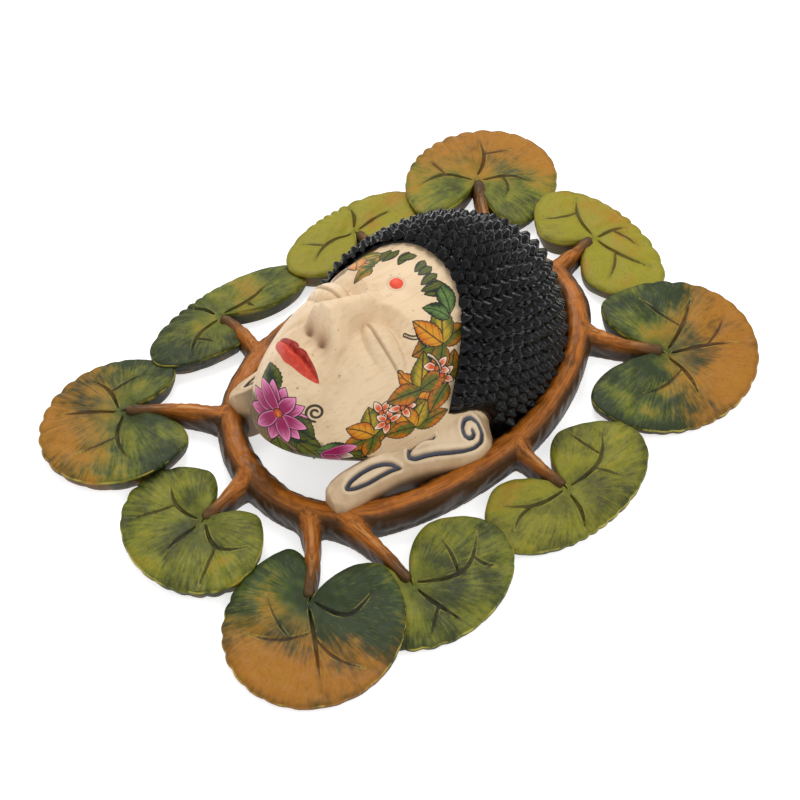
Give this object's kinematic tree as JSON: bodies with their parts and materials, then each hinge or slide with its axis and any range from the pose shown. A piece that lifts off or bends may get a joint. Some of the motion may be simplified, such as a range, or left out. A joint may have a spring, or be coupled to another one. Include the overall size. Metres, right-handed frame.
{
  "type": "carved wall mask",
  "caption": "Carved and painted wooden wall mask: a calm head with long ears and curled hair in an oval ring, framed by stemmed lotus leaves. Flat back, hollowed behind the face.",
  "frame": {"origin": "middle of the bounding box on the flat back", "axes": "+Z out of the face, +Y towards the crown of the head, +X towards the viewer's right of the face"},
  "size_m": [0.3732, 0.503, 0.1683],
  "materials": {
    "painted_wood": "hand painted, satin",
    "leaf_paint": "green and ochre washes, dry brushed, satin",
    "ring_stain": "orange-brown stain over wood grain, satin",
    "face_paint": "cream paint with painted flowers, satin",
    "hair_paint": "black paint, semi gloss",
    "bare_back": "plain adzed wood with a brown wash"
  },
  "bodies": {
    "root": {"buddha_mask": "painted_wood"}
  },
  "joints": []
}
